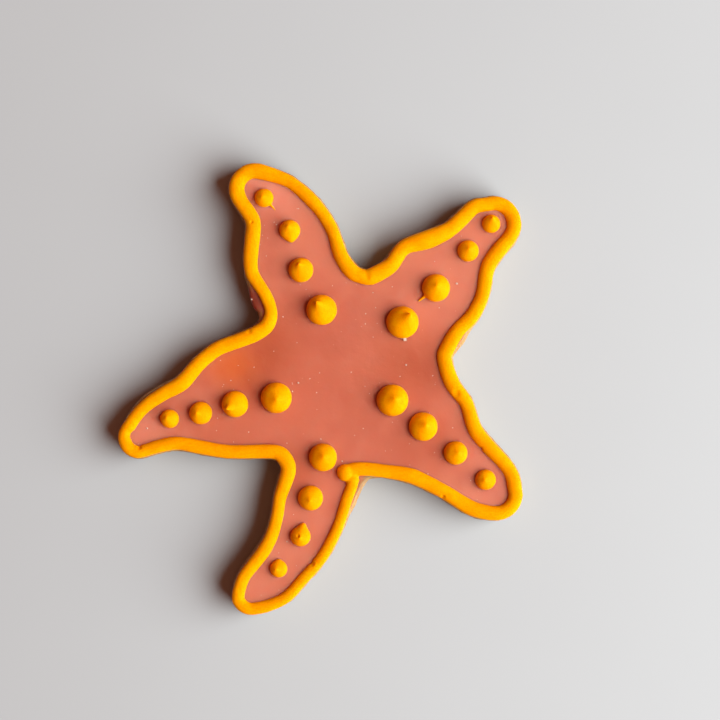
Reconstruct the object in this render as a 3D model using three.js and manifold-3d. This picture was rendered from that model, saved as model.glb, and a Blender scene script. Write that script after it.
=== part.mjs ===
// An iced sugar cookie cut as a starfish: a baked biscuit, a coat of coral icing on its top,
// one piped bead that follows the edge, and four piped dots along each of the five arms.
//
// Millimetres. +Z is up, the cookie lies flat on z = 0, and the origin is under the middle of
// its outer box. Each arm has an axis through the hub. "Along" is the distance out from the
// hub on that axis, "across" the distance to its left, seen from above, and "heading" an
// angle in degrees, counter-clockwise from +X.

import * as THREE from "three";
import { mergeVertices } from "three/addons/utils/BufferGeometryUtils.js";
import Module from "manifold-3d";

const wasm = await Module();
wasm.setup();

// ---------------------------------------------------------------- driving dimensions

const COOKIE_THICKNESS = 6.0;
const COOKIE_ROUND = 0.5; // rounding of its top and bottom edges
const COOKIE_PROUD = 0.3; // the cookie's edge, past the outer side of the bead
const ICING_THICKNESS = 1.2;
const ICING_ROUND = 0.4;
const ICING_INSET = 0.2; // from the cookie's edge to the icing's edge
const PIPING_BASE = COOKIE_THICKNESS + ICING_THICKNESS;

const BEAD_HEIGHT_RATIO = 0.4; // height of the bead, for a width of 1
const BEAD_BELLY = 0.12; // where the bead is widest, as a part of its height
const BEAD_LEAN = 0.12; // how far its ridge stands outwards, as a part of half its width
const DOT_HEIGHT_RATIO = 0.5; // height of a dot's dome, for a width of 1
const DOT_BELLY = 0.1; // where a dot is widest, as a part of its height
const DOT_PEAK_RATIO = 0.07; // the small peak that the piping tip leaves, for a width of 1
const PEAK_SPREAD = 0.4; // radius of the peak, as a part of the dot's radius
const NOSE_SHARPNESS = 10; // how narrow a drawn-out side of a dot is

const STATION_STEP = 5; // along an arm, between two places where its flanks are given

// Each flank station holds the distance from the arm's axis to the middle of the bead, and
// the bead's width there. The stations start at "root". A tip is an arc of the bead's middle
// line, from one angle off the heading to another, round a place at or near the end of the
// axis. A tip that is fuller on one side has a shoulder there. The valley that follows the
// left flank is given from the hub.
const ARMS = [
  {
    name: "lower_right",
    heading: -37.3,
    reach: 42.7,
    root: 20,
    right: [[11.0, 3.0], [8.4, 3.4], [7.2, 3.3], [6.5, 3.2], [6.0, 3.4]],
    rightShoulder: { along: 42.8, across: 4.95, bead: 3.3 },
    tip: { across: -0.05, radius: 4.3, from: -60, to: 57, bead: 3.2 },
    leftShoulder: { along: 43.0, across: 5.3, bead: 3.1 },
    left: [[13.5, 3.4], [12.0, 3.0], [8.6, 3.2], [7.2, 3.3], [6.4, 3.1]],
    valley: [{ out: 22.8, heading: 12, bead: 3.3 }],
    dots: [
      { along: 38.9, across: 1.0, width: 4.6, lean: { heading: 180, by: 0.3 } },
      { along: 30.0, across: 1.7, width: 5.3, lean: { heading: 0, by: 0.5 } },
      { along: 20.7, across: 2.0, width: 6.4, lean: { heading: 30, by: 0.6 } },
      { along: 11.7, across: 2.5, width: 7.1, lean: { heading: 20, by: 0.5 } },
    ],
  },
  {
    name: "upper_right",
    heading: 45.8,
    reach: 47.6,
    root: 20,
    right: [[12.2, 3.4], [10.9, 3.3], [10.85, 3.2], [9.1, 3.1], [5.8, 3.3], [4.9, 3.4]],
    tip: { across: 0, radius: 4.7, from: -86, to: 67, bead: 3.2 },
    leftShoulder: { along: 47.5, across: 5.6, bead: 3.3 },
    left: [[11.4, 3.7], [9.9, 3.6], [10.5, 3.4], [8.0, 4.2], [6.1, 3.6], [5.8, 3.4]],
    valley: [{ out: 22.9, heading: 76, bead: 3.4 }],
    dots: [
      { along: 47.4, across: 0.3, width: 4.1, lean: { heading: 78, by: 0.9 } },
      { along: 39.5, across: -0.2, width: 4.8 },
      { along: 28.7, across: -0.9, width: 6.2, nose: { heading: -140, by: 0.8 } },
      { along: 17.9, across: -0.8, width: 7.2, lean: { heading: 45, by: 1.6 } },
    ],
  },
  {
    name: "upper_left",
    heading: 115.1,
    reach: 46.4,
    root: 20,
    right: [[11.9, 3.4], [10.85, 3.2], [11.5, 2.8], [11.2, 2.8], [9.7, 3.0], [7.2, 2.8]],
    tip: { across: 0.15, radius: 4.0, from: -44, to: 77, bead: 3.5 },
    left: [[8.5, 2.9], [8.1, 2.8], [8.6, 3.1], [6.3, 3.4], [3.6, 3.4], [4.1, 3.3]],
    valley: [{ out: 20.8, heading: 148, bead: 3.4 }],
    dots: [
      { along: 43.8, across: -0.9, width: 4.2, nose: { heading: -50, by: 0.5 } },
      { along: 34.8, across: -3.0, width: 4.7, nose: { heading: -80, by: 0.5 } },
      { along: 25.7, across: -1.5, width: 5.5, lean: { heading: 90, by: 1.0 } },
      { along: 15.7, across: -1.9, width: 6.8, lean: { heading: 120, by: 1.5 } },
    ],
  },
  {
    name: "left",
    heading: -163.2,
    reach: 47.6,
    root: 20,
    right: [[14.6, 3.3], [14.2, 3.2], [12.25, 3.3], [9.2, 3.5], [8.0, 3.1], [6.2, 2.9]],
    tip: { across: -0.4, radius: 3.15, from: -57, to: 75, bead: 2.9 },
    left: [[11.2, 3.2], [9.7, 3.1], [8.15, 3.0], [5.65, 3.1], [3.2, 3.0], [2.7, 2.9]],
    valley: [
      { out: 22.1, heading: -129, bead: 3.5 },
      { out: 23.3, heading: -122, bead: 3.4 },
    ],
    dots: [
      { along: 39.8, across: -2.4, width: 4.2, lean: { heading: 180, by: 0.6 } },
      { along: 32.8, across: -1.6, width: 5.1, lean: { heading: 180, by: 0.8 } },
      { along: 24.9, across: -1.3, width: 5.9, lean: { heading: -148, by: 1.2 } },
      { along: 15.7, across: 0.0, width: 6.9 },
    ],
  },
  {
    name: "lower",
    heading: -113,
    reach: 52.6,
    root: 25,
    right: [[3.0, 3.3], [2.6, 2.9], [1.4, 2.8], [1.0, 3.0], [1.9, 3.0], [3.1, 2.8]],
    tip: { across: 0, radius: 3.1, from: -52, to: 33, bead: 2.8 },
    leftShoulder: { along: 53.2, across: 4.5, bead: 2.7 },
    left: [[11.2, 2.5], [11.7, 2.5], [11.6, 2.5], [10.8, 2.5], [9.1, 2.5], [7.3, 2.6]],
    valley: [
      { out: 24.4, heading: -83.7, bead: 2.6 },
      { out: 22.5, heading: -79.4, bead: 2.6 },
      { out: 21.8, heading: -75.6, bead: 2.6 },
    ],
    dots: [
      { along: 44.9, across: 3.3, width: 3.9, nose: { heading: 90, by: 0.3 } },
      { along: 36.4, across: 4.9, width: 4.5, nose: { heading: 77, by: 1.0 } },
      { along: 27.6, across: 3.7, width: 5.6, lean: { heading: 180, by: 0.4 } },
      { along: 18.2, across: 2.7, width: 6.2 },
    ],
  },
];

// The bead is one rope that starts under its own end blob, in the valley of the lower and
// lower-right arms.
const BEAD_START = [
  { out: 21.2, heading: -89, bead: 3.5 },
  { out: 20.6, heading: -81, bead: 3.1 },
];
const BEAD_FINISH = [
  { out: 24.4, heading: -86, bead: 2.6 },
  { out: 22.9, heading: -85, bead: 2.7 },
];
const START_BLOB = { width: 3.9, height: 1.8 };
const FINISH_BLOB = { width: 2.9, height: 1.3 };

// Where the bead was piped inside the edge, so that the cookie shows past it: the middle of
// each such stretch from the hub, half its length, and how far the cookie stands out.
const LEDGES = [
  { out: 24.7, heading: 135.8, halfLength: 7.9, by: 2.2 },
  { out: 27.6, heading: -88.8, halfLength: 5.0, by: 0.8 },
  { out: 27.0, heading: 19, halfLength: 5.5, by: 0.9 },
  { out: 43.2, heading: -173, halfLength: 9.0, by: 0.5 },
];

const STEPS_PER_KNOT = 2; // places on the guide, for each of its knots
const MIN_EDGE_STEP = 0.15; // places of the cookie's edge that run on by less are joined
const TIP_KNOTS = 6;
const BEAD_CURVE_SEGMENTS = 5;
const ROUND_STEPS = 2; // rings in a rounded edge
const DOT_SEGMENTS = 14;
const DOT_RINGS = 5;

// ---------------------------------------------------------------- finishes

/** A finish with the given colour and roughness. */
function finish(color, roughness) {
  return new THREE.MeshStandardMaterial({ color, roughness, metalness: 0 });
}

const BAKED_DOUGH = finish(0xd8ab72, 0.9);
const CORAL_ICING = finish(0xde7759, 0.4);
const GOLDEN_ICING = finish(0xffb014, 0.5);

// ---------------------------------------------------------------- the plan

/** The unit vector that points along a heading. */
function direction(heading) {
  const angle = THREE.MathUtils.degToRad(heading);
  return new THREE.Vector2(Math.cos(angle), Math.sin(angle));
}

/** The plan point that lies a distance out from the hub, on a heading. */
function fromHub({ out, heading }) {
  return direction(heading).multiplyScalar(out);
}

/** The plan point along an arm's axis and across from it. */
function onArm(arm, along, across) {
  const axis = direction(arm.heading);
  const left = new THREE.Vector2(-axis.y, axis.x);
  return axis.multiplyScalar(along).addScaledVector(left, across);
}

/** A knot of the guide: its plan point, with the bead's width as third coordinate. */
function knot(point, bead) {
  return new THREE.Vector3(point.x, point.y, bead);
}

/** The knots of one flank from the root outwards; side is 1 on the left, -1 on the right. */
function flankKnots(arm, stations, side) {
  return stations.map(([across, bead], index) =>
    knot(onArm(arm, arm.root + index * STATION_STEP, side * across), bead));
}

/** The knots of the arc round an arm's tip. */
function tipKnots(arm) {
  const { heading, reach, tip } = arm;
  const centre = onArm(arm, reach, tip.across);
  const knots = [];
  for (let index = 0; index < TIP_KNOTS; index += 1) {
    const turn = THREE.MathUtils.lerp(tip.from, tip.to, index / (TIP_KNOTS - 1));
    const point = direction(heading + turn).multiplyScalar(tip.radius).add(centre);
    knots.push(knot(point, tip.bead));
  }
  return knots;
}

/** The knot between a flank and the tip, where that corner of the tip stands out. */
function shoulderKnots(arm, shoulder, side) {
  return shoulder ? [knot(onArm(arm, shoulder.along, side * shoulder.across), shoulder.bead)] : [];
}

/** The knots round one arm, counter-clockwise: right flank, tip, left flank. */
function armKnots(arm) {
  return [
    ...flankKnots(arm, arm.right, -1),
    ...shoulderKnots(arm, arm.rightShoulder, -1),
    ...tipKnots(arm),
    ...shoulderKnots(arm, arm.leftShoulder, 1),
    ...flankKnots(arm, arm.left, 1).reverse(),
  ];
}

/** The knots of places that are given from the hub. */
function hubKnots(places) {
  return places.map((place) => knot(fromHub(place), place.bead));
}

/** The knots of the whole edge, a closed line. */
function edgeKnots() {
  return ARMS.flatMap((arm) => [...armKnots(arm), ...hubKnots(arm.valley)]);
}

/** The knots of the bead's middle line, which is open in the last valley. */
function beadKnots() {
  const knots = ARMS.flatMap((arm, index) =>
    index < ARMS.length - 1 ? [...armKnots(arm), ...hubKnots(arm.valley)] : armKnots(arm));
  return [...hubKnots(BEAD_START), ...knots, ...hubKnots(BEAD_FINISH)];
}

/** A place on a guide curve: its plan point, the way out of the cookie, and the bead's width. */
function guidePlace(curve, t) {
  const { x, y, z } = curve.getPoint(t);
  const tangent = curve.getTangent(t);
  const outward = new THREE.Vector2(tangent.y, -tangent.x).normalize();
  return { point: new THREE.Vector2(x, y), outward, bead: z };
}

/** How far the cookie stands out past the bead near a plan point. */
function ledgeAt(point) {
  let total = 0;
  for (const ledge of LEDGES) {
    const reach = point.distanceTo(fromHub(ledge)) / ledge.halfLength;
    if (reach < 1) {
      total += ledge.by * (1 + Math.cos(Math.PI * reach)) / 2;
    }
  }
  return total;
}

/** Adds a place to the edge; places that fold back in the crease of a valley are joined. */
function addPlace(edge, place) {
  const last = edge.at(-1);
  const step = last ? place.point.clone().sub(last.point) : null;
  const runsOn = !last || [last, place].every(({ outward }) =>
    step.dot(new THREE.Vector2(-outward.y, outward.x)) > MIN_EDGE_STEP);
  if (runsOn) {
    edge.push(place);
    return;
  }
  edge.pop();
  const point = last.point.clone().lerp(place.point, 0.5);
  addPlace(edge, { point, outward: last.outward.clone().add(place.outward).normalize() });
}

/** The cookie's edge: plan points on it, each with the way out. */
function cookieEdge() {
  const knots = edgeKnots();
  const curve = new THREE.CatmullRomCurve3(knots, true, "centripetal");
  const count = knots.length * STEPS_PER_KNOT;
  const edge = [];
  for (let index = 0; index < count; index += 1) {
    const { point, outward, bead } = guidePlace(curve, index / count);
    const past = bead / 2 + COOKIE_PROUD + ledgeAt(point);
    addPlace(edge, { point: point.addScaledVector(outward, past), outward });
  }
  return edge;
}

// ---------------------------------------------------------------- solids

/** The rim of a layer, bottom to top: insets and heights of rings round a rounded edge. */
function roundedRim(inset, bottom, top, round) {
  const rings = [];
  for (let index = 0; index <= ROUND_STEPS; index += 1) {
    const angle = (index / ROUND_STEPS) * Math.PI / 2;
    rings.push({ inset: inset + round * (1 - Math.sin(angle)), rise: round * (1 - Math.cos(angle)) });
  }
  const lower = rings.map((ring) => ({ inset: ring.inset, height: bottom + ring.rise }));
  const upper = rings.map((ring) => ({ inset: ring.inset, height: top - ring.rise }));
  return [...lower, ...upper.reverse()];
}

/** A closed layer: one outline repeated at each ring of its rim, with both faces filled in. */
function layerGeometry(edge, rim) {
  const rings = rim.map(({ inset }) =>
    edge.map(({ point, outward }) => point.clone().addScaledVector(outward, -inset)));
  const positions = rings.flatMap((ring, index) =>
    ring.flatMap(({ x, y }) => [x, y, rim[index].height]));

  const count = edge.length;
  const indices = [];
  for (let ring = 0; ring < rings.length - 1; ring += 1) {
    for (let index = 0; index < count; index += 1) {
      const next = (index + 1) % count;
      const [a, b] = [ring * count + index, ring * count + next];
      indices.push(a, b, b + count, a, b + count, a + count);
    }
  }
  const last = (rings.length - 1) * count;
  for (const [a, b, c] of THREE.ShapeUtils.triangulateShape(rings[0], [])) {
    indices.push(a, c, b);
  }
  for (const [a, b, c] of THREE.ShapeUtils.triangulateShape(rings[rings.length - 1], [])) {
    indices.push(last + a, last + b, last + c);
  }

  const geometry = new THREE.BufferGeometry();
  geometry.setAttribute("position", new THREE.Float32BufferAttribute(positions, 3));
  geometry.setIndex(indices);
  return geometry;
}

/** The bead's cross-section for a width of 2 and a height of 1: an oval with a flat foot. */
function beadSection() {
  const rise = 1 - BEAD_BELLY;
  const foot = Math.asin(BEAD_BELLY / rise);
  const section = new THREE.Shape();
  section.absellipse(0, BEAD_BELLY, 1, rise, -foot, Math.PI + foot, false);
  section.closePath();
  return section;
}

/** A straight bead of the unit section, bent along the guide and given its width there. */
function bentBead() {
  const knots = beadKnots();
  const curve = new THREE.CatmullRomCurve3(knots, false, "centripetal");
  const geometry = new THREE.ExtrudeGeometry(beadSection(), {
    depth: 1,
    steps: (knots.length - 1) * STEPS_PER_KNOT,
    curveSegments: BEAD_CURVE_SEGMENTS,
    bevelEnabled: false,
  });
  const position = geometry.attributes.position;
  for (let index = 0; index < position.count; index += 1) {
    const t = THREE.MathUtils.clamp(position.getZ(index), 0, 1);
    const { point, outward, bead } = guidePlace(curve, t);
    const inward = position.getX(index) - BEAD_LEAN * position.getY(index);
    point.addScaledVector(outward, -inward * bead / 2);
    const height = PIPING_BASE + position.getY(index) * bead * BEAD_HEIGHT_RATIO;
    position.setXYZ(index, point.x, point.y, height);
  }
  return geometry;
}

/** The outline of a round dot, from the middle of its foot to its top. */
function dotProfile(radius, height, peak) {
  const belly = height * DOT_BELLY;
  const rise = height - belly;
  const foot = -Math.asin(belly / rise);
  const profile = [new THREE.Vector2(0, 0)];
  for (let index = 0; index < DOT_RINGS; index += 1) {
    const angle = THREE.MathUtils.lerp(foot, Math.PI / 2, index / DOT_RINGS);
    const out = Math.cos(angle);
    const bump = peak * Math.exp(-((out / PEAK_SPREAD) ** 2));
    profile.push(new THREE.Vector2(out * radius, belly + Math.sin(angle) * rise + bump));
  }
  profile[1].y = 0;
  profile.push(new THREE.Vector2(0, height + peak));
  return profile;
}

/** Draws the side of a dot out towards the nose's heading, most of all near its foot. */
function drawNose(position, radius, height, { heading, by }) {
  const towards = direction(heading);
  for (let index = 0; index < position.count; index += 1) {
    const side = new THREE.Vector2(position.getX(index), position.getY(index));
    const facing = Math.max(0, side.clone().normalize().dot(towards));
    const level = Math.max(0, 1 - position.getZ(index) / height);
    const stretch = 1 + (by / radius) * facing ** NOSE_SHARPNESS * level;
    position.setXY(index, side.x * stretch, side.y * stretch);
  }
}

/** Leans a dot over, so that its peak stands off centre while its foot stays. */
function leanOver(position, height, { heading, by }) {
  const towards = direction(heading);
  for (let index = 0; index < position.count; index += 1) {
    const shift = by * (position.getZ(index) / height) ** 2;
    position.setX(index, position.getX(index) + towards.x * shift);
    position.setY(index, position.getY(index) + towards.y * shift);
  }
}

/** A piped dot with its foot on z = 0, with its lean and its drawn-out side if it has them. */
function dotGeometry({ width, height, peak = 0, lean, nose }) {
  const profile = dotProfile(width / 2, height, peak);
  const geometry = new THREE.LatheGeometry(profile, DOT_SEGMENTS).rotateX(Math.PI / 2);
  const position = geometry.attributes.position;
  if (nose) {
    drawNose(position, width / 2, height, nose);
  }
  if (lean) {
    leanOver(position, height + peak, lean);
  }
  return geometry;
}

// ---------------------------------------------------------------- joins

/** The solid of a closed geometry, with its shared vertices merged. */
function toSolid(geometry) {
  geometry.deleteAttribute("normal");
  geometry.deleteAttribute("uv");
  const merged = mergeVertices(geometry, 1e-4);
  return new wasm.Manifold(new wasm.Mesh({
    numProp: 3,
    vertProperties: merged.attributes.position.array,
    triVerts: new Uint32Array(merged.index.array),
  }));
}

/** The geometry of a solid. */
function toGeometry(solid) {
  const { vertProperties, triVerts } = solid.getMesh();
  const geometry = new THREE.BufferGeometry();
  geometry.setAttribute("position", new THREE.Float32BufferAttribute(vertProperties, 3));
  geometry.setIndex(Array.from(triVerts));
  return geometry;
}

/** A round blob of the piping, standing on the icing at a place given from the hub. */
function blobSolid(size, place) {
  const { x, y } = fromHub(place);
  return toSolid(dotGeometry(size).translate(x, y, PIPING_BASE));
}

// ---------------------------------------------------------------- pieces

/** A named piece with its flat-shaded normals. */
function piece(name, geometry, material) {
  geometry.computeVertexNormals();
  const mesh = new THREE.Mesh(geometry, material);
  mesh.name = name;
  return mesh;
}

/** The baked biscuit. */
function makeCookie(edge) {
  const rim = roundedRim(0, 0, COOKIE_THICKNESS, COOKIE_ROUND);
  return piece("cookie", layerGeometry(edge, rim), BAKED_DOUGH);
}

/** The coat of icing on top of the biscuit. */
function makeIcing(edge) {
  const rim = roundedRim(ICING_INSET, COOKIE_THICKNESS, PIPING_BASE, ICING_ROUND);
  return piece("icing", layerGeometry(edge, rim), CORAL_ICING);
}

/** The piped bead round the edge, with the blobs at its two ends. */
function makePipedOutline() {
  const outline = toSolid(bentBead())
    .add(blobSolid(START_BLOB, BEAD_START[0]))
    .add(blobSolid(FINISH_BLOB, BEAD_FINISH.at(-1)));
  return piece("piped_outline", toGeometry(outline), GOLDEN_ICING);
}

/** The piped dots of one arm, the first nearest its tip. */
function makeDots(arm) {
  return arm.dots.map((dot, index) => {
    const height = dot.width * DOT_HEIGHT_RATIO;
    const peak = dot.width * DOT_PEAK_RATIO;
    const mesh = piece(`dot_${arm.name}_${index + 1}`,
      dotGeometry({ ...dot, height, peak }), GOLDEN_ICING);
    const { x, y } = onArm(arm, dot.along, dot.across);
    mesh.position.set(x, y, PIPING_BASE);
    return mesh;
  });
}

/** The whole cookie, moved so that the origin is under the middle of its box. */
function makeStarfishCookie() {
  const edge = cookieEdge();
  const group = new THREE.Group();
  group.add(makeCookie(edge), makeIcing(edge), makePipedOutline());
  for (const arm of ARMS) {
    group.add(...makeDots(arm));
  }
  const middle = new THREE.Box3().setFromObject(group).getCenter(new THREE.Vector3());
  group.position.set(-middle.x, -middle.y, 0);
  return group;
}

export default makeStarfishCookie();
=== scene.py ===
"""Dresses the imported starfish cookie: biscuit, coral icing, piped bead, piped dots and sugar.

Everything is in metres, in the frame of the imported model: +Z is up, the cookie lies on z = 0,
and the origin is under the middle of its outer box.
"""

import logging
import math
import random
from dataclasses import dataclass, field
from enum import Enum

import bmesh
import bpy
import numpy as np
from mathutils import Matrix, Vector, noise


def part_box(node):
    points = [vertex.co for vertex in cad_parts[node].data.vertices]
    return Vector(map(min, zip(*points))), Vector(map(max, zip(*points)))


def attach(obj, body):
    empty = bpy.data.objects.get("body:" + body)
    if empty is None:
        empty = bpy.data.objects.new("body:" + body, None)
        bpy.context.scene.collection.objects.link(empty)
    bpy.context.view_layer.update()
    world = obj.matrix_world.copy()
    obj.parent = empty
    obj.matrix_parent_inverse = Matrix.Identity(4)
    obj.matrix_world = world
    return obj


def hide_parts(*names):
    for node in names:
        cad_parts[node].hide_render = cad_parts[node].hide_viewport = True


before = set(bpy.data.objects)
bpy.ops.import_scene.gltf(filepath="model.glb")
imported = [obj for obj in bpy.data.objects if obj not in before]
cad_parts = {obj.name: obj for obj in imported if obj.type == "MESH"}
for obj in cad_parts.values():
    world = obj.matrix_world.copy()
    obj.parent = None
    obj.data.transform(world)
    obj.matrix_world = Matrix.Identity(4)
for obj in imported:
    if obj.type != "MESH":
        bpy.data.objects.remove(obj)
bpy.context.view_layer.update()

log = logging.getLogger("cookie")

MM = 0.001
BODY = "root"
WELD = 0.01 * MM  # corners closer than this are one corner
STRAIGHT = math.radians(0.5)  # an outline that turns by less runs straight on
ROWS_AT_ONCE = 64  # outline points that are compared together, to spare memory

Rgb = tuple[float, float, float]
Place = tuple[float, float, float]


class Slot(Enum):
    """The record's finishes that the pieces take."""

    DOUGH = "baked_dough"
    CORAL = "coral_icing"
    GOLD = "golden_icing"


# ------------------------------------------------------------------------------ mesh work


def heading_vector(degrees: float) -> Vector:
    """The flat unit vector on a heading, counter-clockwise from +X."""
    angle = math.radians(degrees)
    return Vector((math.cos(angle), math.sin(angle), 0.0))


def node_form(node: str) -> bmesh.types.BMesh:
    """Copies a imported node's mesh with its shared corners merged.

    Args:
        node: The node's name.

    Returns:
        The copy, to be changed at will.
    """
    form = bmesh.new()
    form.from_mesh(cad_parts[node].data)
    bmesh.ops.remove_doubles(form, verts=form.verts, dist=WELD)
    return form


def outline_at(node: str, height: float) -> list[Vector]:
    """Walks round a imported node's outline at one height.

    Args:
        node: The node's name.
        height: Where the node is cut, above the origin.

    Returns:
        The corners of the outline, in order, without those on straight stretches.
    """
    form = node_form(node)
    bmesh.ops.bisect_plane(
        form, geom=form.verts[:] + form.edges[:] + form.faces[:], dist=WELD,
        plane_co=(0, 0, height), plane_no=(0, 0, 1), clear_inner=True, clear_outer=True)
    bmesh.ops.dissolve_limit(
        form, angle_limit=STRAIGHT, verts=form.verts, edges=form.edges)
    corner = first = next(iter(form.verts))
    came_from, ring = None, []
    while corner is not first or not ring:
        ring.append(Vector((corner.co.x, corner.co.y, 0.0)))
        edge = next(e for e in corner.link_edges if e is not came_from)
        corner, came_from = edge.other_vert(corner), edge
    form.free()
    return ring


def rounded_line(corners: list[Vector], step: float) -> list[Vector]:
    """Runs a smooth closed line through corners.

    Args:
        corners: The corners, in order.
        step: The spacing of the line's points.

    Returns:
        Points on a centripetal spline through all corners.
    """
    line, count = [], len(corners)
    for index in range(count):
        p0, p1, p2, p3 = (corners[(index + k - 1) % count] for k in range(4))
        d1, d2, d3 = ((b - a).length ** 0.5 for a, b in ((p0, p1), (p1, p2), (p2, p3)))
        into = ((p1 - p0) / d1 - (p2 - p0) / (d1 + d2) + (p2 - p1) / d2) * d2
        out = ((p2 - p1) / d2 - (p3 - p1) / (d2 + d3) + (p3 - p2) / d3) * d2
        pieces = max(1, round((p2 - p1).length / step))
        for k in range(pieces):
            t = k / pieces
            line.append(
                p1 * (2 * t**3 - 3 * t**2 + 1) + into * (t**3 - 2 * t**2 + t)
                + p2 * (3 * t**2 - 2 * t**3) + out * (t**3 - t**2))
    return line


def signed_area(line: list[Vector]) -> float:
    """The area inside a flat closed line, positive where it runs counter-clockwise."""
    return sum(a.x * b.y - b.x * a.y for a, b in zip(line, line[1:] + line[:1])) / 2


def encloses(line: np.ndarray, x: float, y: float) -> bool:
    """Tells whether a closed line goes round a plan point.

    Args:
        line: The line's plan points, one to a row.
        x: The point's place along X.
        y: The point's place along Y.

    Returns:
        True where the point lies inside.
    """
    ahead = np.roll(line, -1, axis=0)
    crossed = (line[:, 1] > y) != (ahead[:, 1] > y)
    start, end = line[crossed], ahead[crossed]
    at = start[:, 0] + (y - start[:, 1]) / (end[:, 1] - start[:, 1]) * (end[:, 0] - start[:, 0])
    return bool(np.count_nonzero(at > x) % 2)


def link(name: str, form: bmesh.types.BMesh) -> bpy.types.Object:
    """Makes a smooth-shaded object of a form, and frees the form.

    Args:
        name: The object's name.
        form: Its shape.

    Returns:
        The new object, at the origin.
    """
    mesh = bpy.data.meshes.new(name)
    form.to_mesh(mesh)
    form.free()
    mesh.shade_smooth()
    piece = bpy.data.objects.new(name, mesh)
    bpy.context.scene.collection.objects.link(piece)
    return piece


def settle(piece: bpy.types.Object) -> None:
    """Applies a piece's modifiers to its mesh.

    Args:
        piece: The piece.
    """
    graph = bpy.context.evaluated_depsgraph_get()
    mesh = bpy.data.meshes.new_from_object(piece.evaluated_get(graph))
    piece.modifiers.clear()
    old, piece.data = piece.data, mesh
    bpy.data.meshes.remove(old)


def even_out(piece: bpy.types.Object, voxel: float, passes: int) -> None:
    """Gives a piece an even fine mesh with soft edges.

    Args:
        piece: The piece.
        voxel: The size of the new faces.
        passes: How often the new mesh is smoothed.
    """
    remesh = piece.modifiers.new("even_mesh", "REMESH")
    remesh.mode = "VOXEL"
    remesh.voxel_size = voxel
    settle(piece)
    form = bmesh.new()
    form.from_mesh(piece.data)
    for _ in range(passes):
        bmesh.ops.smooth_vert(
            form, verts=form.verts, factor=0.5, use_axis_x=True, use_axis_y=True, use_axis_z=True)
    form.to_mesh(piece.data)
    form.free()
    piece.data.shade_smooth()


def corner_array(mesh: bpy.types.Mesh, what: str = "co") -> np.ndarray:
    """Reads the places of a mesh's corners, or their normals.

    Args:
        mesh: The mesh.
        what: "co" for places, "normal" for normals.

    Returns:
        One row for each corner.
    """
    values = np.empty(len(mesh.vertices) * 3, np.float32)
    mesh.vertices.foreach_get(what, values)
    return values.reshape(-1, 3).astype(float)


def place_corners(mesh: bpy.types.Mesh, places: np.ndarray) -> None:
    """Moves a mesh's corners to new places, one row for each."""
    mesh.vertices.foreach_set("co", places.astype(np.float32).ravel())
    mesh.update()


@dataclass(frozen=True)
class Relief:
    """Soft random relief of one size."""

    wavelength: float
    height: float
    octaves: int = 2
    seed: float = 0.0

    def at(self, places: np.ndarray) -> np.ndarray:
        """Measures the relief at places.

        Args:
            places: One row for each place.

        Returns:
            Its height at each, from about -height to +height.
        """
        scaled = places / self.wavelength + self.seed
        return self.height * np.array(
            [noise.fractal(Vector(p), 1.0, 2.0, self.octaves) for p in scaled])


def smooth_step(values: np.ndarray, low: float, high: float) -> np.ndarray:
    """Rises softly from 0 at low to 1 at high."""
    t = np.clip((values - low) / (high - low), 0.0, 1.0)
    return t * t * (3 - 2 * t)


def hand_in(piece: bpy.types.Object, slot: Slot | None, *nodes: str) -> None:
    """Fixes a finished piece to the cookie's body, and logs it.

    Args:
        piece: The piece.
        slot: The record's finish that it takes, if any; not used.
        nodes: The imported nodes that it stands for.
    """
    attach(piece, BODY)
    if nodes:
        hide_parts(*nodes)
    log.info("%s: %d faces", piece.name, len(piece.data.polygons))


# ------------------------------------------------------------------------------ finishes


@dataclass(frozen=True)
class Soak:
    """How light soaks into a surface: the share that does, and the reach of each colour."""

    share: float
    reach: tuple[float, float, float]


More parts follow.
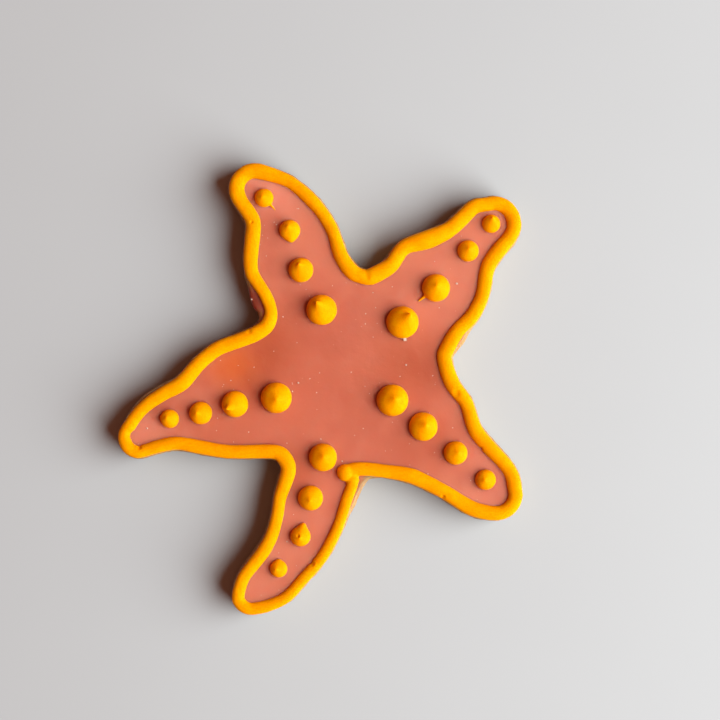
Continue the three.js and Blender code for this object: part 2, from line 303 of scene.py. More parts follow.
class Shading:
    """A material in the making, with short names for the nodes that finishes need."""

    def __init__(self, name: str) -> None:
        """Starts a material with one Principled shader.

        Args:
            name: The material's name.
        """
        self.material = bpy.data.materials.new(name)
        self.material.use_nodes = True
        self.tree = self.material.node_tree
        self.shader = self.tree.nodes["Principled BSDF"]
        self.place = self.add("ShaderNodeTexCoord").outputs["Object"]

    def add(self, kind: str, **settings: object) -> bpy.types.Node:
        """Adds a node with its settings.

        Args:
            kind: The node's type.
            settings: Its properties by name.

        Returns:
            The node.
        """
        node = self.tree.nodes.new(kind)
        for name, value in settings.items():
            setattr(node, name, value)
        return node

    def wire(self, source: object, target: bpy.types.NodeSocket) -> None:
        """Links a socket to a target, or sets the target's constant.

        Args:
            source: A socket or a value.
            target: The input that takes it.
        """
        if isinstance(source, bpy.types.NodeSocket):
            self.tree.links.new(source, target)
        else:
            target.default_value = source

    def grain(self, wavelength: float, detail: float = 2.0,
              seed: float = 0.0) -> bpy.types.NodeSocket:
        """Cloudy noise.

        Args:
            wavelength: The size of its clouds.
            detail: How many finer layers it has.
            seed: Which part of the noise is used.

        Returns:
            A value of about 0.3 to 0.7.
        """
        moved = self.add("ShaderNodeMapping")
        moved.inputs["Location"].default_value = (seed, seed, seed)
        self.wire(self.place, moved.inputs["Vector"])
        clouds = self.add("ShaderNodeTexNoise")
        self.wire(moved.outputs[0], clouds.inputs["Vector"])
        clouds.inputs["Scale"].default_value = 1 / wavelength
        clouds.inputs["Detail"].default_value = detail
        return clouds.outputs["Fac"]

    def specks(self, spacing: float, radius: float) -> bpy.types.NodeSocket:
        """Small round specks at random places.

        Args:
            spacing: The mean distance between places.
            radius: The radius of a speck.

        Returns:
            1 in a speck and 0 elsewhere.
        """
        cells = self.add("ShaderNodeTexVoronoi")
        self.wire(self.place, cells.inputs["Vector"])
        cells.inputs["Scale"].default_value = 1 / spacing
        return self.band(cells.outputs["Distance"], radius / spacing, 0.6 * radius / spacing)

    def band(self, value: object, low: float, high: float) -> bpy.types.NodeSocket:
        """Rises smoothly from 0 where a value is low to 1 where it is high.

        Args:
            value: The value, a socket.
            low: Where the rise starts.
            high: Where it ends.

        Returns:
            The share from 0 to 1.
        """
        ramp = self.add("ShaderNodeMapRange", interpolation_type="SMOOTHSTEP")
        self.wire(value, ramp.inputs["Value"])
        ramp.inputs["From Min"].default_value = low
        ramp.inputs["From Max"].default_value = high
        return ramp.outputs["Result"]

    def math(self, operation: str, *values: object) -> bpy.types.NodeSocket:
        """Does a sum on sockets and numbers.

        Args:
            operation: The kind of sum.
            values: What goes into it, in order.

        Returns:
            The result.
        """
        node = self.add("ShaderNodeMath", operation=operation)
        for value, socket in zip(values, node.inputs):
            self.wire(value, socket)
        return node.outputs[0]

    def mix(self, share: object, first: object, second: object) -> bpy.types.NodeSocket:
        """Mixes two colours.

        Args:
            share: How much of the second there is, from 0 to 1.
            first: One colour, a socket or a value.
            second: The other.

        Returns:
            The mixed colour.
        """
        node = self.add("ShaderNodeMix", data_type="RGBA")
        self.wire(share, node.inputs["Factor"])
        for colour, socket in ((first, node.inputs[6]), (second, node.inputs[7])):
            self.wire((*colour, 1.0) if isinstance(colour, tuple) else colour, socket)
        return node.outputs[2]

    def near(self, centre: Place, radius: float) -> bpy.types.NodeSocket:
        """Picks out the neighbourhood of a place.

        Args:
            centre: The place.
            radius: How far the neighbourhood goes.

        Returns:
            1 at the place, falling softly to 0 at the radius.
        """
        node = self.add("ShaderNodeVectorMath", operation="DISTANCE")
        self.wire(self.place, node.inputs[0])
        node.inputs[1].default_value = centre
        return self.band(node.outputs["Value"], radius, 0.0)

    def height(self) -> bpy.types.NodeSocket:
        """Measures the height above what the cookie lies on.

        Returns:
            The height in metres.
        """
        parts = self.add("ShaderNodeSeparateXYZ")
        self.wire(self.place, parts.inputs[0])
        return parts.outputs["Z"]

    def rough_up(self, *layers: tuple[bpy.types.NodeSocket, float]) -> None:
        """Adds fine bumps.

        Args:
            layers: For each layer of bumps a value and its height.
        """
        normal = None
        for value, height in layers:
            bump = self.add("ShaderNodeBump")
            bump.inputs["Distance"].default_value = height
            self.wire(value, bump.inputs["Height"])
            if normal is not None:
                self.wire(normal, bump.inputs["Normal"])
            normal = bump.outputs["Normal"]
        self.wire(normal, self.shader.inputs["Normal"])

    def finish(self, colour: object, roughness: object, shine: float,
               soak: Soak | None = None) -> bpy.types.Material:
        """Sets the shader's inputs.

        Args:
            colour: The base colour, a socket.
            roughness: The roughness, a socket or number.
            shine: How strongly the surface mirrors, 0.5 for a usual one.
            soak: How light soaks in, if it does.

        Returns:
            The material.
        """
        self.wire(colour, self.shader.inputs["Base Color"])
        self.wire(roughness, self.shader.inputs["Roughness"])
        self.shader.inputs["Specular IOR Level"].default_value = shine
        if soak is not None:
            self.shader.inputs["Subsurface Weight"].default_value = soak.share
            self.shader.inputs["Subsurface Radius"].default_value = soak.reach
            self.shader.inputs["Subsurface Scale"].default_value = 1.0
        return self.material


@dataclass(frozen=True)
class BakedDough:
    """Dry fine-crumbed biscuit, browned at its foot and underside, with painted shade on one
    ledge.
    """

    pale: Rgb = (0.38, 0.245, 0.10)
    golden: Rgb = (0.33, 0.175, 0.06)
    brown: Rgb = (0.20, 0.083, 0.026)
    browned_below: float = 0.6 * MM
    pale_above: float = 3.2 * MM
    browning_sway: float = 2.4 * MM  # how unevenly the browning climbs the side
    toasted: float = 0.5
    # painted shade: darkens the biscuit's side round this place, the ledge of the upper-left arm,
    # which lies in shade
    ledge_shade: Place = (-18 * MM, 19 * MM, 4 * MM)
    ledge_shade_radius: float = 9 * MM
    ledge_shade_strength: float = 1.5
    roughness: float = 0.85
    shine: float = 0.25
    soak: Soak = Soak(0.1, (0.9 * MM, 0.5 * MM, 0.2 * MM))

    def material(self) -> bpy.types.Material:
        """Builds the material.

        Returns:
            The finished material.
        """
        make = Shading("baked_dough")
        crumb = make.grain(1.1 * MM, 4.0)
        body = make.mix(make.band(crumb, 0.35, 0.65), self.golden, self.pale)
        sway = make.grain(5 * MM, 2.0, 3.0)
        uneven = make.math("MULTIPLY_ADD", sway, self.browning_sway, make.height())
        baked = make.band(uneven, self.pale_above, self.browned_below)
        colour = make.mix(baked, body, self.brown)
        flecks = make.band(make.grain(0.5 * MM, 2.0, 7.0), 0.52, 0.7)
        colour = make.mix(make.math("MULTIPLY", flecks, self.toasted), colour, self.golden)
        # painted shade on the biscuit's side at the shaded ledge
        ledge_shade = make.near(self.ledge_shade, self.ledge_shade_radius)
        colour = make.mix(make.math("MULTIPLY", ledge_shade, self.ledge_shade_strength), colour, self.brown)
        make.rough_up((make.grain(0.35 * MM, 3.0, 1.0), 0.09 * MM), (crumb, 0.12 * MM))
        return make.finish(colour, self.roughness, self.shine, self.soak)


@dataclass(frozen=True)
class Patch:
    """A patch of the icing in another shade."""

    x: float
    y: float
    radius: float
    share: float  # of the shade at the middle; past 1 the patch has a wide even middle
    shade: Rgb


@dataclass(frozen=True)
class CoralIcing:
    """Set flood icing: satin, faintly translucent, paler in the arms and where it thins, with a
    painted highlight and a painted shadow in two of its patches.
    """

    middle: Rgb = (0.45, 0.118, 0.064)
    arms: Rgb = (0.50, 0.161, 0.096)
    deep: Rgb = (0.38, 0.088, 0.048)
    thick: Rgb = (0.36, 0.068, 0.020)
    bright: Rgb = (0.54, 0.115, 0.016)
    # also the colour of a painted highlight, in one of the patches
    pale: Rgb = (0.61, 0.23, 0.16)
    shaded: Rgb = (0.20, 0.028, 0.010)
    thin: Rgb = (0.34, 0.205, 0.065)
    valley_khaki: Rgb = (0.25, 0.17, 0.065)
    speck: Rgb = (0.66, 0.38, 0.27)
    hub_radius: float = 42 * MM
    level: float = 7 * MM  # the height at which the patches lie
    wispiness: float = 0.3
    cloudiness: float = 0.45
    speck_share: float = 0.6
    roughness: float = 0.34
    dullness: float = 0.2  # by which the wisps are rougher
    shine: float = 0.35
    soak: Soak = Soak(1.0, (3.2 * MM, 1.5 * MM, 1.0 * MM))
    patches: tuple[Patch, ...] = (
        Patch(-12 * MM, 10 * MM, 12 * MM, 0.8, thick),
        Patch(-15 * MM, 2.5 * MM, 12 * MM, 0.6, thick),
        Patch(-20 * MM, 5.5 * MM, 9 * MM, 0.75, bright),
        Patch(21 * MM, 5 * MM, 14 * MM, 0.8, thick),
        Patch(25 * MM, -12 * MM, 14 * MM, 0.5, thick),
        Patch(-5 * MM, -18 * MM, 8 * MM, 0.6, thick),
        Patch(-22 * MM, -11 * MM, 12 * MM, 0.35, thick),
        Patch(-10 * MM, 45 * MM, 11 * MM, 0.8, pale),
        # painted highlight: a soft pale sheen on the icing of the left arm
        Patch(-39 * MM, -9 * MM, 6 * MM, 0.4, pale),
        Patch(39 * MM, -24 * MM, 9 * MM, 0.1, pale),
        Patch(-17 * MM, 19 * MM, 6 * MM, 2.0, shaded),
        # a darker khaki over the coat's edge in the valley between the lower two arms
        Patch(11.8 * MM, -22.2 * MM, 5 * MM, 2.0, valley_khaki),
    )

    def material(self) -> bpy.types.Material:
        """Builds the material.

        Returns:
            The finished material.
        """
        make = Shading("coral_icing")
        clouds = make.grain(14 * MM, 2.0)
        wisps = make.grain(5 * MM, 3.0, 5.0)
        near_middle = make.near((0, 0, self.level), self.hub_radius)
        hub = make.math("ADD", near_middle, self.wispiness / 2)
        inwards = make.math("MULTIPLY_ADD", wisps, -self.wispiness, hub)
        colour = make.mix(inwards, self.arms, self.middle)
        cloudy = make.math("MULTIPLY", make.band(clouds, 0.48, 0.68), self.cloudiness)
        colour = make.mix(cloudy, colour, self.deep)
        rim = make.add("ShaderNodeAttribute", attribute_name="rim").outputs["Fac"]
        colour = make.mix(rim, colour, self.thin)
        for patch in self.patches:
            within = make.near((patch.x, patch.y, self.level), patch.radius)
            colour = make.mix(make.math("MULTIPLY", within, patch.share), colour, patch.shade)
        specks = make.math("MULTIPLY", make.specks(2.4 * MM, 0.1 * MM), self.speck_share)
        colour = make.mix(specks, colour, self.speck)
        make.rough_up((make.grain(0.5 * MM, 2.0, 2.0), 0.012 * MM), (wisps, 0.1 * MM))
        roughness = make.math("MULTIPLY_ADD", wisps, self.dullness, self.roughness)
        return make.finish(colour, roughness, self.shine, self.soak)


@dataclass(frozen=True)
class GoldenIcing:
    """Set piping icing: smooth and satin, with a fine grain, and red where light soaks through."""

    yellow: Rgb = (0.77, 0.31, 0.0)
    amber: Rgb = (0.69, 0.235, 0.0)
    gleam: Rgb = (1.0, 0.75, 0.05)
    roughness: float = 0.55
    shine: float = 0.08
    soak: Soak = Soak(0.4, (1.6 * MM, 0.5 * MM, 0.1 * MM))

    def material(self) -> bpy.types.Material:
        """Builds the material.

        Returns:
            The finished material.
        """
        make = Shading("golden_icing")
        grain = make.grain(0.35 * MM, 3.0)
        clouds = make.grain(3.5 * MM, 2.0, 4.0)
        both = make.math("ADD", make.band(grain, 0.4, 0.7), make.band(clouds, 0.35, 0.65))
        colour = make.mix(make.math("MULTIPLY", both, 0.5), self.yellow, self.amber)
        make.rough_up((grain, 0.03 * MM), (make.grain(1.4 * MM, 2.0, 9.0), 0.05 * MM))
        make.shader.inputs["Specular Tint"].default_value = (*self.gleam, 1.0)
        return make.finish(colour, self.roughness, self.shine, self.soak)


@dataclass(frozen=True)
class SugarCrystal:
    """Clear white sugar."""

    white: Rgb = (0.62, 0.52, 0.44)
    grey: Rgb = (0.48, 0.38, 0.32)
    roughness: float = 0.25
    shine: float = 0.5
    soak: Soak = Soak(0.4, (0.3 * MM, 0.3 * MM, 0.3 * MM))

    def material(self) -> bpy.types.Material:
        """Builds the material.

        Returns:
            The finished material.
        """
        make = Shading("sugar")
        colour = make.mix(make.grain(0.2 * MM), self.white, self.grey)
        return make.finish(colour, self.roughness, self.shine, self.soak)


@dataclass(frozen=True)
class PlainFloor:
    """The pale studio floor."""

    pale: Rgb = (0.37, 0.41, 0.43)
    dimmed: float = 0.97
    roughness: float = 0.8
    shine: float = 0.2

    def material(self) -> bpy.types.Material:
        """Builds the material.

        Returns:
            The finished material.
        """
        make = Shading("plain_floor")
        dim = tuple(self.dimmed * part for part in self.pale)
        colour = make.mix(make.grain(40 * MM), self.pale, dim)
        return make.finish(colour, self.roughness, self.shine)


# ------------------------------------------------------------------------------ the layers


@dataclass
class Layer:
    """A flat layer with a smooth outline and rounded edges."""

    node: str
    name: str
    edge_round: float
    voxel: float
    line_step: float = 0.5 * MM
    round_steps: int = 4
    smoothing: int = 2
    outline: list[Vector] = field(default_factory=list)

    def form(self) -> bpy.types.Object:
        """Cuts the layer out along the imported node's outline and rounds its edges.

        Returns:
            The layer, with an even fine mesh.
        """
        low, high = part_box(self.node)
        self.outline = rounded_line(outline_at(self.node, (low.z + high.z) / 2), self.line_step)
        if signed_area(self.outline) < 0:
            self.outline.reverse()
        form = bmesh.new()
        sole = form.faces.new([form.verts.new((p.x, p.y, low.z)) for p in self.outline])
        top = bmesh.ops.extrude_face_region(form, geom=[sole], use_keep_orig=True)
        raised = [part for part in top["geom"] if isinstance(part, bmesh.types.BMVert)]
        bmesh.ops.translate(form, verts=raised, vec=(0, 0, high.z - low.z))
        bmesh.ops.recalc_face_normals(form, faces=form.faces)
        flat = [face for face in form.faces if len(face.verts) > 4]
        bmesh.ops.bevel(
            form, geom=list({edge for face in flat for edge in face.edges}),
            offset=self.edge_round, affect="EDGES", segments=self.round_steps, profile=0.5,
            material=-1)
        piece = link(self.name, form)
        even_out(piece, self.voxel, self.smoothing)
        return piece

    def edge_distance(self, places: np.ndarray) -> np.ndarray:
        """Measures how far places are from the outline, seen from above.

        Args:
            places: One row for each place.

        Returns:
            The distance of each.
        """
        line = np.array([p[:2] for p in self.outline])
        nearest = np.full(len(places), np.inf)
        for start in range(0, len(line), ROWS_AT_ONCE):
            part = line[start:start + ROWS_AT_ONCE]
            gaps = np.linalg.norm(places[:, None, :2] - part[None], axis=2)
            nearest = np.minimum(nearest, gaps.min(axis=1))
        return nearest


@dataclass
class Biscuit:
    """The baked cookie: crumbed sides, a flat browned underside."""

    finish: BakedDough = BakedDough()
    crumbs: tuple[Relief, ...] = (
        Relief(2.4 * MM, 0.16 * MM, 2, 1.7),
        Relief(0.9 * MM, 0.10 * MM, 2, 8.3),
    )
    sole_share: float = 0.35  # of the crumb's relief that shows in the sole
    edge_round: float = 0.6 * MM
    voxel: float = 0.42 * MM
    side_to_sole: tuple[float, float] = (0.5, 0.9)  # by how much faces look down
    side_to_top: tuple[float, float] = (0.3, 0.9)  # by how much faces look up

    def build(self) -> None:
        """Builds and dresses the biscuit."""
        layer = Layer("cookie", "biscuit", self.edge_round, self.voxel)
        piece = layer.form()
        places, normals = corner_array(piece.data), corner_array(piece.data, "normal")
        relief = sum(crumb.at(places) for crumb in self.crumbs)
        on_sole = smooth_step(-normals[:, 2], *self.side_to_sole) > 0.5
        relief = np.where(on_sole, -np.abs(relief) * self.sole_share, relief)
        relief = relief * (1 - smooth_step(normals[:, 2], *self.side_to_top))
        places = places + normals * relief[:, None]
        places[:, 2] = np.maximum(places[:, 2], 0.0)
        place_corners(piece.data, places)
        piece.data.materials.append(self.finish.material())
        hand_in(piece, Slot.DOUGH, layer.node)


@dataclass
class IcingCoat:
    """The flood icing on top of the biscuit."""

    finish: CoralIcing = CoralIcing()
    swells: tuple[Relief, ...] = (
        Relief(16 * MM, 0.07 * MM, 1, 4.1),
        Relief(5 * MM, 0.025 * MM, 2, 2.2),
    )
    thin_rim: tuple[float, float] = (0.5 * MM, 1.2 * MM)
    sink: float = 0.15 * MM  # into the biscuit
    edge_round: float = 0.4 * MM
    voxel: float = 0.36 * MM
    side_to_sole: tuple[float, float] = (0.5, 0.9)  # by how much faces look down
    side_to_top: tuple[float, float] = (0.2, 0.9)  # by how much faces look up

    def build(self) -> Layer:
        """Builds and dresses the coat.

        Returns:
            The layer that it was formed as, with its outline.
        """
        layer = Layer("icing", "icing_coat", self.edge_round, self.voxel)
        piece = layer.form()
        places, normals = corner_array(piece.data), corner_array(piece.data, "normal")
        from_edge = layer.edge_distance(places)
        facing_up = smooth_step(normals[:, 2], *self.side_to_top)
        swell = sum(part.at(places) for part in self.swells) * facing_up
        facing_down = smooth_step(-normals[:, 2], *self.side_to_sole)
        places[:, 2] += swell - self.sink * facing_down
        place_corners(piece.data, places)
        thinning = 1 - smooth_step(from_edge, *self.thin_rim)
        rim = piece.data.attributes.new("rim", "FLOAT", "POINT")
        rim.data.foreach_set("value", thinning.astype(np.float32))
        piece.data.materials.append(self.finish.material())
        hand_in(piece, Slot.CORAL, layer.node)
        return layer


# ------------------------------------------------------------------------------ the piping


@dataclass(frozen=True)
class Dent:
    """A pit, nick or pinched place in the piping."""

    x: float
    y: float
    radius: float
    depth: float

    def press(self, places: np.ndarray, normals: np.ndarray) -> np.ndarray:
        """Presses the dent in, seen from above.

        Args:
            places: One row for each corner of the piping.
            normals: The way out of the piping at each.

        Returns:
            The new places.
        """
        gaps = np.hypot(places[:, 0] - self.x, places[:, 1] - self.y) / self.radius
        push = self.depth * np.clip(1 - gaps**2, 0, 1) ** 2
        return places - normals * push[:, None]


@dataclass
class PipedOutline:
    """The bead piped round the edge, its two ends run together in one valley."""

    finish: GoldenIcing = GoldenIcing()
    node: str = "piped_outline"
    voxel: float = 0.21 * MM
    smoothing: int = 3
    levels: int = 2
    fit_passes: int = 3
    sink: float = 0.3 * MM  # of the foot, into the icing
    foot_height: float = 0.3 * MM
    foot_angle: float = 40.0  # the flat foot ends where the bead turns up by more than this
    joined_angle: float = 50.0  # triangles that meet flatter than this become one face
    joined_skew: float = 60.0  # how far such a face may be from a rectangle
    swells: tuple[Relief, ...] = (
        Relief(4.5 * MM, 0.07 * MM, 2, 6.2),
        Relief(1.1 * MM, 0.018 * MM, 2, 3.9),
    )
    dents: tuple[Dent, ...] = (
        Dent(-15.2 * MM, 37.2 * MM, 0.45 * MM, 0.35 * MM),  # a pit
        Dent(27.3 * MM, -23.9 * MM, 0.6 * MM, 0.35 * MM),  # a nick in the lower right arm
        Dent(35.7 * MM, -13.3 * MM, 0.6 * MM, 0.3 * MM),
        Dent(30.3 * MM, -0.9 * MM, 1.2 * MM, 0.25 * MM),  # where the hand paused
        Dent(10.5 * MM, 25.4 * MM, 1.2 * MM, 0.15 * MM),
        Dent(-15.8 * MM, 12.8 * MM, 0.8 * MM, 0.2 * MM),
        Dent(-1.9 * MM, -38.9 * MM, 0.8 * MM, 0.3 * MM),
        Dent(-42.2 * MM, -10.0 * MM, 1.3 * MM, 0.35 * MM),  # the sharp turn at the left tip
        Dent(-40.26 * MM, -12.92 * MM, 0.7 * MM, 0.3 * MM),
    )

    def keep_foot_sharp(self, form: bmesh.types.BMesh) -> None:
        """Creases the edges of the flat foot, so that the skin doesn't bulge past them.

        Args:
            form: The bead's coarse form.
        """
        crease = form.edges.layers.float.new("crease_edge")
        base = min(corner.co.z for corner in form.verts)
        for edge in form.edges:
            on_base = all(corner.co.z < base + WELD for corner in edge.verts)
            if on_base and edge.calc_face_angle(0.0) > math.radians(self.foot_angle):
                edge[crease] = 1.0

    def smooth_skin(self, piece: bpy.types.Object) -> None:
        """Divides the coarse form finely, so that it still passes through its own corners.

        Args:
            piece: The piece with the coarse form.
        """
        subdivide = piece.modifiers.new("skin", "SUBSURF")
        subdivide.levels = subdivide.render_levels = self.levels
        corners = corner_array(piece.data)
        for _ in range(self.fit_passes):
            graph = bpy.context.evaluated_depsgraph_get()
            skin = piece.evaluated_get(graph).to_mesh()
            reached = corner_array(skin)[:len(corners)]
            place_corners(piece.data, corner_array(piece.data) + corners - reached)
        settle(piece)

    def build(self) -> None:
        """Builds and dresses the bead."""
        form = node_form(self.node)
        bmesh.ops.join_triangles(
            form, faces=form.faces, angle_face_threshold=math.radians(self.joined_angle),
            angle_shape_threshold=math.radians(self.joined_skew))
        self.keep_foot_sharp(form)
        piece = link("piped_bead", form)
        self.smooth_skin(piece)
        places = corner_array(piece.data)
        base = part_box(self.node)[0].z
        foot = 1 - smooth_step(places[:, 2], base, base + self.foot_height)
        places[:, 2] -= self.sink * foot
        place_corners(piece.data, places)
        even_out(piece, self.voxel, self.smoothing)
        places, normals = corner_array(piece.data), corner_array(piece.data, "normal")
        relief = sum(part.at(places) for part in self.swells)
        places = places + normals * relief[:, None]
        for dent in self.dents:
            places = dent.press(places, normals)
        place_corners(piece.data, places)
        piece.data.materials.append(self.finish.material())
        hand_in(piece, Slot.GOLD, self.node)


@dataclass(frozen=True)
class Strand:
    """A thin strand that the nozzle drew off a dot."""

    heading: float
    start: float  # from the dot's middle, in dot radii
    end: float
    height: float  # of its root, in dot radii
    thickness: float  # radius of its root, in dot radii


@dataclass(frozen=True)
class Dot:
    """One piped dot: a dome that runs up to a point, and what the nozzle drew out of it."""

    node: str
    lean: float = 0.0  # how far the point stands off centre, in dot radii
    heading: float = 0.0  # the way the point leans
    nub: float = 0.0  # height of a narrow tip on the point, in dot radii
    nose: float = 0.0  # how far the foot is drawn out, in dot radii
    nose_heading: float = 0.0
    strand: Strand | None = None
    dents: tuple[Dent, ...] = ()


@dataclass
class PipedDots:
    """The twenty dots, four along each arm, each spun from its profile."""

    finish: GoldenIcing = GoldenIcing()
    sink: float = 0.25 * MM
    rise: float = 0.57  # height of a packed dot, for a width of 1
    dome: float = 1.0  # height of the full dome, in dot radii
    belly: float = 0.1  # where a dot is widest, as a part of the dome's height
    shoulder: float = 0.55  # where the dome turns into the point, in dot radii
    blunt: float = 0.07  # rounding of the point, in dot radii
    nub_width: float = 0.2  # in dot radii
    nose_sharpness: float = 14
    nose_clear: float = 0.2  # a nose that points along an axis by more than this widens its box
    strand_taper: float = 0.35  # thickness of a strand's end, for a root of 1
    strand_sides: int = 16
    voxel: float = 0.15 * MM
    smoothing: int = 1
    rings: int = 30
    sides: int = 56
    uneven: Relief = Relief(2.2 * MM, 0.05 * MM, 2, 5.5)
    dots: tuple[Dot, ...] = (
        Dot("dot_lower_right_1", lean=0.12, heading=180),
        Dot("dot_lower_right_2", lean=0.2, heading=20),
        Dot("dot_lower_right_3", lean=0.22, heading=40),
        Dot("dot_lower_right_4", lean=0.18, heading=30),
        Dot("dot_upper_right_1", lean=0.75, heading=80, nub=0.12),
        Dot("dot_upper_right_2", lean=0.15, heading=85),
        Dot("dot_upper_right_3", lean=0.12, heading=80,
            strand=Strand(-143, 0.85, 1.62, 0.12, 0.14)),
        Dot("dot_upper_right_4", lean=0.72, heading=47, nub=0.12),
        Dot("dot_upper_left_1", lean=0.2, heading=180,
            strand=Strand(-48, 0.8, 1.8, 0.16, 0.16)),
        Dot("dot_upper_left_2", lean=0.35, heading=115, nose=0.2, nose_heading=-80),
        Dot("dot_upper_left_3", lean=0.5, heading=108, nub=0.1),
        Dot("dot_upper_left_4", lean=0.62, heading=122, nub=0.14),
        Dot("dot_left_1", lean=0.28, heading=150),
        Dot("dot_left_2", lean=0.3, heading=180),
        Dot("dot_left_3", lean=0.72, heading=-148, nub=0.14),
        Dot("dot_left_4", lean=0.1, heading=-60),
        Dot("dot_lower_1", lean=0.3, heading=180, nose=0.12, nose_heading=90),
        Dot("dot_lower_2", lean=0.1, heading=250, nose=0.4, nose_heading=77,
            dents=(Dent(-4.9 * MM, -32.5 * MM, 0.42 * MM, 0.5 * MM),)),
        Dot("dot_lower_3", lean=0.15, heading=-110),
        Dot("dot_lower_4", lean=0.1, heading=60, strand=Strand(-6, 0.8, 1.1, 0.45, 0.2)),
    )

    def middle(self, dot: Dot) -> tuple[Vector, float]:
        """Finds a dot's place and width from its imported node.

        Args:
            dot: The dot.

        Returns:
            The middle of its foot, and its radius.
        """
        low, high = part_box(dot.node)
        radius = (high.z - low.z) / self.rise / 2
        towards = heading_vector(dot.nose_heading)
        place = Vector((0, 0, low.z))
        for axis in (0, 1):
            drawn = towards[axis] if dot.nose else 0.0
            if drawn > self.nose_clear:
                place[axis] = low[axis] + radius
            elif drawn < -self.nose_clear:
                place[axis] = high[axis] - radius
            else:
                place[axis] = (low[axis] + high[axis]) / 2
        return place, radius

    def profile_height(self, out: float, nub: float) -> float:
        """The height of a dot above its belly, both in dot radii.

        Args:
            out: The distance from the dot's axis.
            nub: The height of the narrow tip on its point.

        Returns:
            The height of the dome, or of the straight slope that runs on from it to the point.
        """
        rise = self.dome * (1 - self.belly)
        at_shoulder = rise * math.sqrt(1 - self.shoulder**2)
        slope = rise * self.shoulder / math.sqrt(1 - self.shoulder**2)
        if out > self.shoulder:
            height = rise * math.sqrt(max(0.0, 1 - out**2))
        else:
            height = at_shoulder + slope * (self.shoulder - math.hypot(out, self.blunt))
        return height + nub * math.exp(-((out / self.nub_width) ** 2))

    def spin(self, radius: float, dot: Dot) -> bmesh.types.BMesh:
        """Spins a dot about the upright axis, its foot at z = 0.

        Args:
            radius: The dot's radius.
            dot: Its recipe.

        Returns:
            The closed form.
        """
        belly = self.dome * self.belly
        foot = -math.asin(self.belly / (1 - self.belly))
        form = bmesh.new()
        profile = [form.verts.new((0, 0, -self.sink))]
        profile.append(form.verts.new((math.cos(foot) * radius, 0, -self.sink)))
        profile.append(form.verts.new((math.cos(foot) * radius, 0, 0)))
        for index in range(self.rings + 1):
            out = math.cos(math.pi / 2 * index / self.rings) if index < self.rings else 0.0
            height = belly + self.profile_height(out, dot.nub)
            profile.append(form.verts.new((out * radius, 0, height * radius)))
        edges = [form.edges.new(pair) for pair in zip(profile, profile[1:])]
        bmesh.ops.spin(
            form, geom=profile + edges, cent=(0, 0, 0), axis=(0, 0, 1), angle=2 * math.pi,
            steps=self.sides, use_merge=True)
        bmesh.ops.remove_doubles(form, verts=form.verts, dist=WELD / 2)
        bmesh.ops.recalc_face_normals(form, faces=form.faces)
        return form

    def draw_out(self, form: bmesh.types.BMesh, radius: float, dot: Dot) -> None:
        """Draws one side of a dot's foot out, and leans its point over.

        Args:
            form: The dot's form, its foot at z = 0.
            radius: Its radius.
            dot: Its recipe.
        """
        top = (self.dome * self.belly + self.profile_height(0.0, dot.nub)) * radius
        towards = heading_vector(dot.nose_heading)
        aside = heading_vector(dot.heading) * dot.lean * radius
        for corner in form.verts:
            level = min(1.0, max(0.0, corner.co.z / top))
            flat = Vector((corner.co.x, corner.co.y, 0))
            if flat.length > 0:
                facing = max(0.0, flat.normalized().dot(towards))
                corner.co += flat * dot.nose * facing**self.nose_sharpness * (1 - level)
            corner.co += aside * level**3

    def add_strand(self, form: bmesh.types.BMesh, radius: float, strand: Strand) -> None:
        """Adds the thin strand that was drawn off a dot, tapering to its end.

        Args:
            form: The dot's form, its foot at z = 0.
            radius: Its radius.
            strand: The strand.
        """
        length = (strand.end - strand.start) * radius
        cone = bmesh.ops.create_cone(
            form, cap_ends=True, segments=self.strand_sides, depth=length,
            radius1=strand.thickness * radius,
            radius2=self.strand_taper * strand.thickness * radius)["verts"]
        fall = math.atan2(strand.height * radius, length)
        bmesh.ops.translate(form, verts=cone, vec=(0, 0, length / 2))
        bmesh.ops.rotate(form, verts=cone, matrix=Matrix.Rotation(math.pi / 2 + fall, 3, "Y"))
        root = Vector((strand.start * radius, 0, strand.height * radius))
        bmesh.ops.translate(form, verts=cone, vec=root)
        bmesh.ops.rotate(
            form, verts=cone, matrix=Matrix.Rotation(math.radians(strand.heading), 3, "Z"))

    def make(self, dot: Dot, material: bpy.types.Material) -> None:
        """Builds and dresses one dot.

        Args:
            dot: Its recipe.
            material: Its finish.
        """
        place, radius = self.middle(dot)
        form = self.spin(radius, dot)
        self.draw_out(form, radius, dot)
        if dot.strand:
            self.add_strand(form, radius, dot.strand)
        bmesh.ops.translate(form, verts=form.verts, vec=place)
        piece = link(dot.node.replace("dot_", "piped_dot_"), form)
        even_out(piece, self.voxel, self.smoothing)
        places, normals = corner_array(piece.data), corner_array(piece.data, "normal")
        places = places + normals * self.uneven.at(places)[:, None]
        for dent in dot.dents:
            places = dent.press(places, normals)
        place_corners(piece.data, places)
        piece.data.materials.append(material)
        hand_in(piece, Slot.GOLD, dot.node)

    def build(self) -> None:
        """Builds all the dots."""
        material = self.finish.material()
        for dot in self.dots:
            self.make(dot, material)


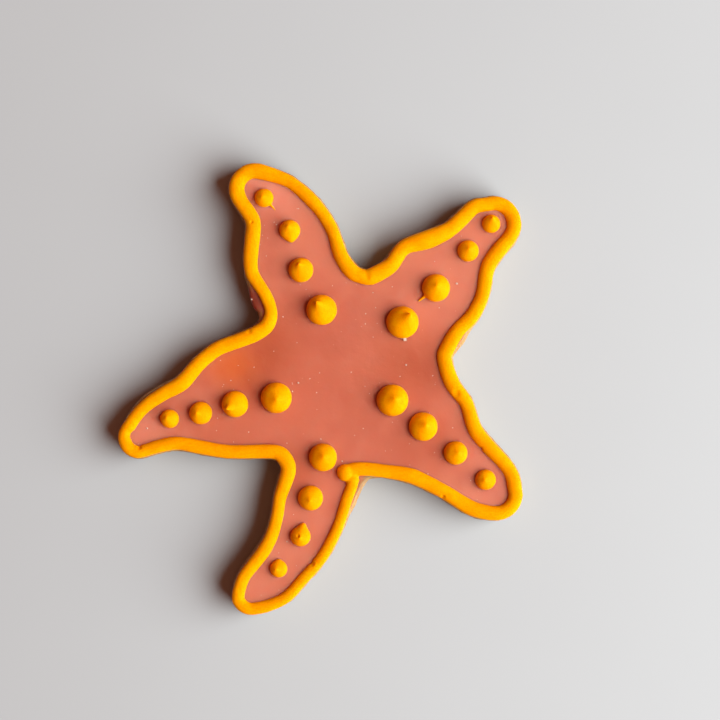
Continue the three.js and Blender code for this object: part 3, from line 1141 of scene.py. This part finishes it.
@dataclass
class SugarGrains:
    """Stray grains of sugar on the icing: a few that stand out, and a scatter of fine ones."""

    finish: SugarCrystal = SugarCrystal()
    chunks: tuple[tuple[float, float, float], ...] = (  # x, y and size
        (18.8 * MM, 11.1 * MM, 0.75 * MM),
        (18.2 * MM, 11.4 * MM, 0.4 * MM),
        (-4.9 * MM, 1.4 * MM, 0.35 * MM),
        (19.1 * MM, 5.4 * MM, 0.35 * MM),
        (-15.3 * MM, 20.0 * MM, 0.25 * MM),
        (-38.6 * MM, -8.7 * MM, 0.3 * MM),
        (30.4 * MM, 23.5 * MM, 0.35 * MM),
    )
    chunk_rise: float = 0.3  # of a grain's middle above the icing, for a size of 1
    scatter: int = 90
    fine: tuple[float, float] = (0.1 * MM, 0.2 * MM)
    fine_rise: float = 0.2
    uneven: tuple[float, float] = (0.75, 1.15)  # how far a grain's corners stand out
    reach: float = 46 * MM
    clear_of_edge: float = 3.2 * MM
    seed: int = 7

    def add_grain(self, form: bmesh.types.BMesh, place: Vector, size: float,
                  draw: random.Random) -> None:
        """Adds one uneven crystal.

        Args:
            form: The form that it is added to.
            place: Its middle.
            size: Its width.
            draw: The source of chance.
        """
        cube = bmesh.ops.create_cube(form, size=size)["verts"]
        for corner in cube:
            corner.co *= draw.uniform(*self.uneven)
        spin = Matrix.Rotation(draw.uniform(0, math.tau), 3, (draw.random(), draw.random(), 1))
        bmesh.ops.rotate(form, verts=cube, matrix=spin)
        bmesh.ops.translate(form, verts=cube, vec=place)

    def build(self, coat: Layer) -> None:
        """Builds and dresses the grains, all in one mesh.

        Args:
            coat: The layer of icing that they lie on.
        """
        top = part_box(coat.node)[1].z
        draw = random.Random(self.seed)
        form = bmesh.new()
        for x, y, size in self.chunks:
            self.add_grain(form, Vector((x, y, top + self.chunk_rise * size)), size, draw)
        edge = np.array([corner[:2] for corner in coat.outline])
        placed = 0
        while placed < self.scatter:
            x, y = draw.uniform(-self.reach, self.reach), draw.uniform(-self.reach, self.reach)
            from_edge = np.hypot(*(edge - (x, y)).T).min()
            if encloses(edge, x, y) and from_edge > self.clear_of_edge:
                size = draw.uniform(*self.fine)
                self.add_grain(form, Vector((x, y, top + self.fine_rise * size)), size, draw)
                placed += 1
        piece = link("sugar_grains", form)
        piece.data.shade_flat()
        piece.data.materials.append(self.finish.material())
        hand_in(piece, None)


# ------------------------------------------------------------------------------ the studio


@dataclass
class Studio:
    """A plain pale floor, soft light from the right, and the camera straight above it."""

    floor_size: float = 4.0
    aim: tuple[float, float] = (8.83 * MM, 6.5 * MM)  # the plan point in mid view
    aim_height: float = 8.3 * MM
    view_width: float = 160 * MM
    distance: float = 400 * MM
    sensor: float = 36.0
    clip: tuple[float, float] = (0.01, 10.0)
    key_heading: float = -12.0
    key_elevation: float = 36.0
    key_distance: float = 0.9
    key_size: float = 1.15
    key_irradiance: float = 3.6
    key_colour: Rgb = (1.0, 0.985, 0.96)
    room_colour: Rgb = (1.0, 0.3, 0.16)
    room_light: float = 0.25

    def floor(self) -> None:
        """Lays the floor."""
        form = bmesh.new()
        bmesh.ops.create_grid(form, x_segments=8, y_segments=8, size=self.floor_size / 2)
        piece = link("floor", form)
        piece.data.materials.append(PlainFloor().material())

    def key_light(self) -> None:
        """Hangs the soft key light."""
        lamp = bpy.data.lights.new("key", "AREA")
        lamp.shape = "DISK"
        lamp.size = self.key_size
        lamp.energy = self.key_irradiance * math.pi**2 * self.key_distance**2
        lamp.color = self.key_colour
        light = bpy.data.objects.new("key", lamp)
        rise = math.radians(self.key_elevation)
        back = heading_vector(self.key_heading) * math.cos(rise) + Vector((0, 0, math.sin(rise)))
        light.location = back * self.key_distance
        light.rotation_euler = (-back).to_track_quat("-Z", "Y").to_euler()
        bpy.context.scene.collection.objects.link(light)

    def world(self) -> None:
        """Fills the room with even warm light."""
        world = bpy.data.worlds.new("room")
        world.use_nodes = True
        room = world.node_tree.nodes["Background"]
        room.inputs["Color"].default_value = (*self.room_colour, 1.0)
        room.inputs["Strength"].default_value = self.room_light
        bpy.context.scene.world = world

    def camera(self) -> None:
        """Sets the camera straight above, with the wanted width in view."""
        lens = bpy.data.cameras.new("camera")
        lens.sensor_width = self.sensor
        lens.lens = self.sensor * self.distance / self.view_width
        lens.clip_start, lens.clip_end = self.clip
        camera = bpy.data.objects.new("camera", lens)
        camera.location = (*self.aim, self.aim_height + self.distance)
        bpy.context.scene.collection.objects.link(camera)
        bpy.context.scene.camera = camera

    def build(self) -> None:
        """Sets the whole studio up."""
        self.floor()
        self.key_light()
        self.world()
        self.camera()
        bpy.context.scene.view_settings.view_transform = "Standard"


def main() -> None:
    """Builds every part of the dressed cookie in order."""
    logging.basicConfig(level=logging.INFO, format="%(message)s")
    Studio().build()
    Biscuit().build()
    coat = IcingCoat().build()
    PipedOutline().build()
    PipedDots().build()
    SugarGrains().build(coat)


if __name__ == "__main__":
    main()
